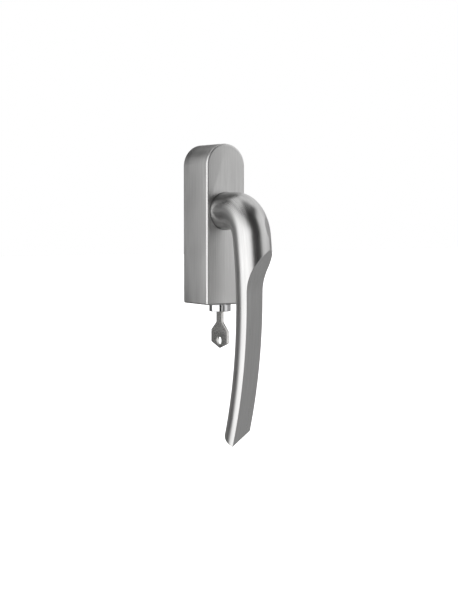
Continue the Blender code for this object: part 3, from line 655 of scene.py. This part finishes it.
def lever_stations(total):
    """Ring places along the lever, closer where the flat begins and turns."""
    spans = ((0.0, 12 * MM, 12), (12 * MM, 24 * MM, 16), (24 * MM, 84 * MM, 150), (84 * MM, total, 75))
    places = [0.0]
    for start, end, count in spans:
        places += list(np.linspace(start, end, count + 1)[1:])
    return places


def tenon_rings(count, first_ring):
    """Rings from the neck's inner end over the journal and the grooved tenon, into the square socket."""
    angles = np.arctan2(first_ring[:, 0], first_ring[:, 2])
    square = SOCKET_HALF / np.maximum(np.abs(np.sin(angles)), np.abs(np.cos(angles)))
    steps = TENON_STEPS + tuple((square, reach) for reach in SOCKET_REACHES)
    return [
        np.stack((radius * np.sin(angles), np.full(count, -reach), radius * np.cos(angles)), 1)
        for radius, reach in steps
    ]


def make_lever():
    lever = Lever()
    tip, up = tip_plane()
    stations = lever_stations(lever.total)
    made = [lever.ring(place) for place in stations]
    rings = np.array([points for points, _ in made])
    worn = np.array([edge for _, edge in made])
    count = rings.shape[1]
    above = (rings - tip) @ up
    clear = int(np.argmax((above < CLOSING_FROM).any(axis=1)))
    ends = np.empty((count, 3))
    tail = np.empty((CLOSING_RINGS, count, 3))
    for column in range(count):
        last = clear + int(np.argmax(above[clear:, column] < 0))
        share = above[last - 1, column] / (above[last - 1, column] - above[last, column])
        ends[column] = rings[last - 1, column] + share * (rings[last, column] - rings[last - 1, column])
        line = np.vstack((rings[clear - 1:last, column], ends[column]))
        reach = np.concatenate(([0.0], np.cumsum(np.linalg.norm(np.diff(line, axis=0), axis=1))))
        wanted = np.linspace(0, reach[-1] - CREASE_WIDTH, CLOSING_RINGS + 1)[1:]
        tail[:, column] = np.stack([np.interp(wanted, reach, line[:, axis]) for axis in range(3)], 1)
    heart = ends.mean(axis=0)
    inward = heart - ends
    inward /= np.linalg.norm(inward, axis=1)[:, None]
    rim = ends + CREASE_WIDTH * inward
    soft = [
        (1 - t) ** 2 * tail[-1] + 2 * t * (1 - t) * ends + t ** 2 * rim
        for t in (0.25, 0.5, 0.75, 1.0)
    ]
    cap = [rim + share * (heart - rim) for share in (0.06, 0.3, 0.6, 0.85)]
    body = list(rings[:clear]) + list(tail) + soft + cap
    start = tenon_rings(count, rings[0])
    body = start[::-1] + body
    edges = [np.zeros(count)] * len(start) + list(worn[:clear]) + [worn[clear]] * CLOSING_RINGS
    edges += [np.ones(count)] * 3 + [np.zeros(count)] * (1 + len(cap))
    along = [0.0] * len(start) + stations[:clear]
    grain = grain_places(lever, body, along, heart)
    mesh = ring_mesh("lever_grip", body)
    store_points(mesh, "edge", "FLOAT", "value", np.append(np.concatenate(edges), (0.0, 0.0)))
    store_points(mesh, "grain", "FLOAT_VECTOR", "vector", grain.ravel())
    grip = settle(new_piece("lever_grip", mesh))
    grip = carve(grip, rod("grub_hole", GRUB_HOLE_RADIUS, -14 * MM, -1 * MM, LEVER_GRUB_PLACE, sides=32))
    grip = settle(grip, LEVER_STEEL)
    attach(grip, "handle")
    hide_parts("lever")


def grain_places(lever, body, along, heart):
    """Where each point sits across and along the lever, which the brush lines follow."""
    places = []
    for index, ring in enumerate(body):
        length = along[index] if index < len(along) else None
        for point in ring:
            if length is None:
                nearest = int(np.argmin(np.linalg.norm(lever.centres - point, axis=1)))
                here = lever.lengths[nearest]
            else:
                here = length
            centre, outward, _ = lever.frame(here)
            places.append((point[0], (point - centre) @ outward, here))
    places.append((0.0, 0.0, 0.0))
    places.append((heart[0], 0.0, lever.total))
    return np.array(places)


def ring_mesh(name, rings):
    """A closed skin over rings of equally many points, shut at both ends."""
    count = len(rings[0])
    points = [tuple(point) for ring in rings for point in ring]
    start, end = len(points), len(points) + 1
    points += [tuple(rings[0].mean(axis=0)), tuple(rings[-1].mean(axis=0))]
    faces = []
    for index in range(len(rings) - 1):
        for column in range(count):
            after = (column + 1) % count
            low, high = index * count, (index + 1) * count
            faces.append((low + column, low + after, high + after, high + column))
    last = (len(rings) - 1) * count
    for column in range(count):
        after = (column + 1) % count
        faces.append((start, after, column))
        faces.append((end, last + column, last + after))
    mesh = bpy.data.meshes.new(name)
    mesh.from_pydata(points, [], faces)
    return mesh


def store_points(mesh, name, kind, field, values):
    layer = mesh.attributes.new(name, kind, "POINT")
    layer.data.foreach_set(field, np.asarray(values, dtype=float))


# ---------------------------------------------------------------- lock and key

def make_collar():
    """The chromed barrel: a plain tube in the housing and a rounded collar below it."""
    outer = [
        (BARREL_RADIUS, BARREL_TOP), (BARREL_RADIUS, COLLAR_TOP),
        (COLLAR_RADIUS - COLLAR_BREAK, COLLAR_TOP), (COLLAR_RADIUS, COLLAR_TOP - COLLAR_BREAK),
    ]
    for step in range(5):
        angle = pi / 2 * step / 4
        radius = COLLAR_RADIUS - COLLAR_ROUNDING * (1 - cos(angle))
        outer.append((radius, COLLAR_BOTTOM + COLLAR_ROUNDING * (1 - sin(angle))))
    seat = COLLAR_BOTTOM + PLUG_HEAD_DEPTH
    inner = [
        (PLUG_HEAD_BORE + COLLAR_BREAK, COLLAR_BOTTOM), (PLUG_HEAD_BORE, COLLAR_BOTTOM + COLLAR_BREAK),
        (PLUG_HEAD_BORE, seat), (PLUG_BORE, seat), (PLUG_BORE, BARREL_TOP),
    ]
    collar = settle(turned("lock_collar", outer + inner, (0, LOCK_Y)), COLLAR_CHROME, angle=40)
    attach(collar, "base")
    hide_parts("lock_barrel")


def key_outline():
    right = list(KEY_BODY)
    for index, depth in enumerate(KEY_CUTS):
        height = KEY_FIRST_CUT + KEY_CUT_PITCH * index
        right += [
            (KEY_BLADE_HALF, height - 1.1), (KEY_BLADE_HALF - depth, height - 0.5),
            (KEY_BLADE_HALF - depth, height + 0.5), (KEY_BLADE_HALF, height + 1.1),
        ]
    right += KEY_TIP
    return right + [(-across, up) for across, up in reversed(right[1:])]


def make_key():
    """A stamped key: a thin plate with rounded edges, a notched blade and a hanging hole."""
    curve = bpy.data.curves.new("door_key", "CURVE")
    curve.dimensions = "2D"
    curve.fill_mode = "BOTH"
    curve.extrude = (KEY_HALF_THICKNESS - KEY_EDGE) * MM
    curve.bevel_depth = KEY_EDGE * MM
    curve.bevel_resolution = 4
    curve.offset = -KEY_EDGE * MM
    angles = [2 * pi * step / KEY_HOLE_SIDES for step in range(KEY_HOLE_SIDES)]
    hole = [(KEY_HOLE_RADIUS * cos(a), KEY_HOLE_HEIGHT + KEY_HOLE_RADIUS * sin(a)) for a in angles]
    for outline in (key_outline(), hole):
        spline = curve.splines.new("POLY")
        spline.points.add(len(outline) - 1)
        for point, (across, up) in zip(spline.points, outline):
            point.co = (across * MM, up * MM, 0.0, 1.0)
        spline.use_cyclic_u = True
    plate = new_piece("sash_key", curve)
    plate.location = (0, LOCK_Y, 0)
    plate.rotation_euler = (pi / 2, 0, pi / 2)
    key = settle(plate, KEY_NICKEL, angle=30)
    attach(key, "key")
    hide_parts("key")


# ---------------------------------------------------------------- coils and threads

def coil_tree():
    """A round wire that climbs in even turns."""
    tree, given, output = node_tree("coil", (
        ("Turns", "NodeSocketFloat"), ("Radius", "NodeSocketFloat"), ("Height", "NodeSocketFloat"),
        ("Wire", "NodeSocketFloat"), ("Steps", "NodeSocketInt"), ("Wire Sides", "NodeSocketInt"),
        ("Finish", "NodeSocketMaterial"),
    ))
    sizes = given.outputs
    climb = add_node(tree, "GeometryNodeCurveSpiral", {
        "Resolution": sizes["Steps"], "Rotations": sizes["Turns"], "Start Radius": sizes["Radius"],
        "End Radius": sizes["Radius"], "Height": sizes["Height"],
    })
    wire = add_node(tree, "GeometryNodeCurvePrimitiveCircle", {
        "Resolution": sizes["Wire Sides"], "Radius": sizes["Wire"],
    })
    swept = add_node(tree, "GeometryNodeCurveToMesh", {
        "Curve": climb.outputs["Curve"], "Profile Curve": wire.outputs["Curve"], "Fill Caps": True,
    })
    end_tree(tree, swept.outputs["Mesh"], sizes["Finish"], output)
    return tree


def make_coils():
    tree = coil_tree()
    low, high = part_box("bolt_return_spring")
    spring = from_nodes("return_coil", tree, {
        "Turns": SPRING_TURNS, "Radius": SPRING_RADIUS, "Height": high.z - low.z - 2 * SPRING_WIRE,
        "Wire": SPRING_WIRE, "Steps": 40, "Wire Sides": 12, "Finish": SPRING_STEEL,
    })
    spring.location = (0, LOCK_Y, low.z + SPRING_WIRE)
    spring = settle(spring, SPRING_STEEL)
    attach(spring, "base")
    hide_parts("bolt_return_spring")
    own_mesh(spring)
    for side, height in (("upper", SCREW_HEIGHT), ("lower", -SCREW_HEIGHT)):
        thread = from_nodes("screw_thread_" + side, tree, {
            "Turns": THREAD_TURNS, "Radius": THREAD_RADIUS, "Height": THREAD_LENGTH, "Wire": THREAD_WIRE,
            "Steps": 28, "Wire Sides": 4, "Finish": ZINC_STEEL,
        })
        thread.location = (0, THREAD_START, height)
        thread.rotation_euler = TOWARDS_ROOM
        thread = settle(thread, ZINC_STEEL)
        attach(thread, "base")


# ---------------------------------------------------------------- finishes of the frame's own pieces

FINISHES = {
    ZINC_STEEL: (
        "base_plate", "mounting_screw_upper", "mounting_screw_lower", "barrel_fork", "housing_grub_screw",
        "spindle", "index_hub", "lever_grub_screw", "lock_cam", "lock_bolt",
    ),
    SPRING_STEEL: ("detent_spring_left", "detent_spring_right", "neck_circlip", "plug_clip"),
    BRASS: ("cylinder_plug", "wafer_1", "wafer_2", "wafer_3", "wafer_4", "wafer_5"),
    BLACK_NYLON: ("neck_bushing", "gear_cage", "bolt_guide"),
    WHITE_NYLON: ("hub_bearing",),
}


def finish_frame():
    for material, names in FINISHES.items():
        for name in names:
            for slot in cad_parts[name].material_slots:
                slot.material = material


# ---------------------------------------------------------------- studio

DARK_SIDE = 0.02
FLOOR_HEIGHT = -0.45
FLOOR_SIZE = 12.0
EYE_PLACE = (-0.45448, -0.75984, -0.00099)
EYE_RIGHT = Vector((0.848048, -0.529919, 0.0))
EYE_UP = Vector((0.032798, 0.052488, 0.998083))
EYE_LENS = 82.39

# In degrees but for the level: place round from straight in front to the left, half its width, height of
# its middle, half its height, level, softness of its edges
SOFT_BOXES = (
    ("left", 82, 43, -8, 36, 1.72, 16),
    ("left_high", 94, 38, 33, 9, 1.15, 16),
    ("upper_left", 82, 20, 58, 17, 0.36, 20),
    ("right", -61, 35, 28, 27, 1.06, 16),
    ("right_low", -36, 19, -14, 17, 0.84, 12),
    ("far_right", -86, 36, -17, 21, 0.36, 14),
    ("far_right_high", -112, 24, 36, 20, 0.92, 20),
    ("back_right", -135, 14, 10, 36, 0.88, 16),
    ("back_left", 133, 10, 30, 16, 0.75, 12),
    ("back", 142, 17, 4, 6, 0.27, 6),
    ("back_middle", 186, 27, -4, 8, 0.24, 8),
    ("back_low", 168, 42, -23, 22, 0.05, 6),
    ("upper_back", 188, 90, 62, 16, 0.90, 12),
    ("crown", 0, 181, 86, 9, 0.24, 20),
    ("ground", 0, 181, -66, 26, 0.14, 20),
)


def window(tree, distance, half, softness):
    """One inside a soft box's half size, nothing outside, with a soft edge."""
    ranged = add_node(tree, "ShaderNodeMapRange", {
        "Value": distance, "From Min": radians(half - softness / 2), "From Max": radians(half + softness / 2),
        "To Min": 1.0, "To Max": 0.0,
    }, interpolation_type="SMOOTHSTEP")
    return ranged.outputs["Result"]


def make_surround():
    """Soft boxes that the metal mirrors, dark between them, before a plain white background."""
    world = bpy.data.worlds.new("soft_studio")
    world.use_nodes = True
    tree = world.node_tree
    tree.nodes.clear()
    way = add_node(tree, "ShaderNodeTexCoord").outputs["Generated"]
    parts = add_node(tree, "ShaderNodeSeparateXYZ", {"Vector": way}).outputs
    left = arithmetic(tree, "MULTIPLY", parts["X"], -1.0)
    front = arithmetic(tree, "MULTIPLY", parts["Y"], -1.0)
    turn = arithmetic(tree, "ARCTAN2", left, front)
    rise = arithmetic(tree, "ARCSINE", parts["Z"], 0.0)
    total = None
    for _, round_place, half_width, height, half_height, level, softness in SOFT_BOXES:
        away = arithmetic(tree, "SUBTRACT", turn, radians(round_place))
        wrapped = add_node(tree, "ShaderNodeMath", {0: away, 1: pi, 2: -pi}, operation="WRAP").outputs[0]
        across = window(tree, arithmetic(tree, "ABSOLUTE", wrapped, 0.0), half_width, softness)
        apart = arithmetic(tree, "ABSOLUTE", arithmetic(tree, "SUBTRACT", rise, radians(height)), 0.0)
        shape = arithmetic(tree, "MULTIPLY", across, window(tree, apart, half_height, softness))
        lit = arithmetic(tree, "MULTIPLY", shape, level)
        total = lit if total is None else arithmetic(tree, "MAXIMUM", total, lit)
    dim = arithmetic(tree, "ADD", total, DARK_SIDE)
    studio = add_node(tree, "ShaderNodeBackground", {"Color": dim, "Strength": 1.0})
    plain = add_node(tree, "ShaderNodeBackground", {"Color": (1, 1, 1, 1), "Strength": 1.0})
    seen = add_node(tree, "ShaderNodeLightPath").outputs["Is Camera Ray"]
    both = add_node(tree, "ShaderNodeMixShader", {0: seen, 1: studio.outputs[0], 2: plain.outputs[0]})
    add_node(tree, "ShaderNodeOutputWorld", {"Surface": both.outputs[0]})
    bpy.context.scene.world = world


def make_floor():
    material, tree, shader = new_material("pale_floor")
    grain = noise(tree, own_coordinates(tree), (9, 9, 9), detail=3.0)
    ground = mixed_colour(tree, grain, (0.93, 0.93, 0.93), (0.95, 0.95, 0.95))
    tree.links.new(ground, shader.inputs["Base Color"])
    shader.inputs["Roughness"].default_value = 0.9
    shader.inputs["Emission Color"].default_value = (1.0, 1.0, 1.0, 1.0)
    shader.inputs["Emission Strength"].default_value = 1.0
    shape = bmesh.new()
    bmesh.ops.create_grid(shape, x_segments=8, y_segments=8, size=FLOOR_SIZE)
    mesh = bpy.data.meshes.new("studio_floor")
    shape.to_mesh(mesh)
    shape.free()
    floor = new_piece("studio_floor", mesh, material)
    floor.location = (0, 0, FLOOR_HEIGHT)
    floor.visible_glossy = False
    floor.visible_diffuse = False
    floor.visible_shadow = False


def make_camera():
    data = bpy.data.cameras.new("front_left_eye")
    data.lens = EYE_LENS
    data.sensor_width = 36.0
    data.clip_start = 0.05
    data.clip_end = 50.0
    camera = bpy.data.objects.new("front_left_eye", data)
    bpy.context.scene.collection.objects.link(camera)
    camera.location = EYE_PLACE
    back = EYE_RIGHT.cross(EYE_UP)
    camera.rotation_euler = Matrix((EYE_RIGHT, EYE_UP, back)).transposed().to_euler()
    bpy.context.scene.camera = camera


make_camera()
make_surround()
make_floor()
make_housing()
make_lever()
make_collar()
make_key()
make_coils()
finish_frame()

bpy.context.scene.view_settings.view_transform = "Standard"
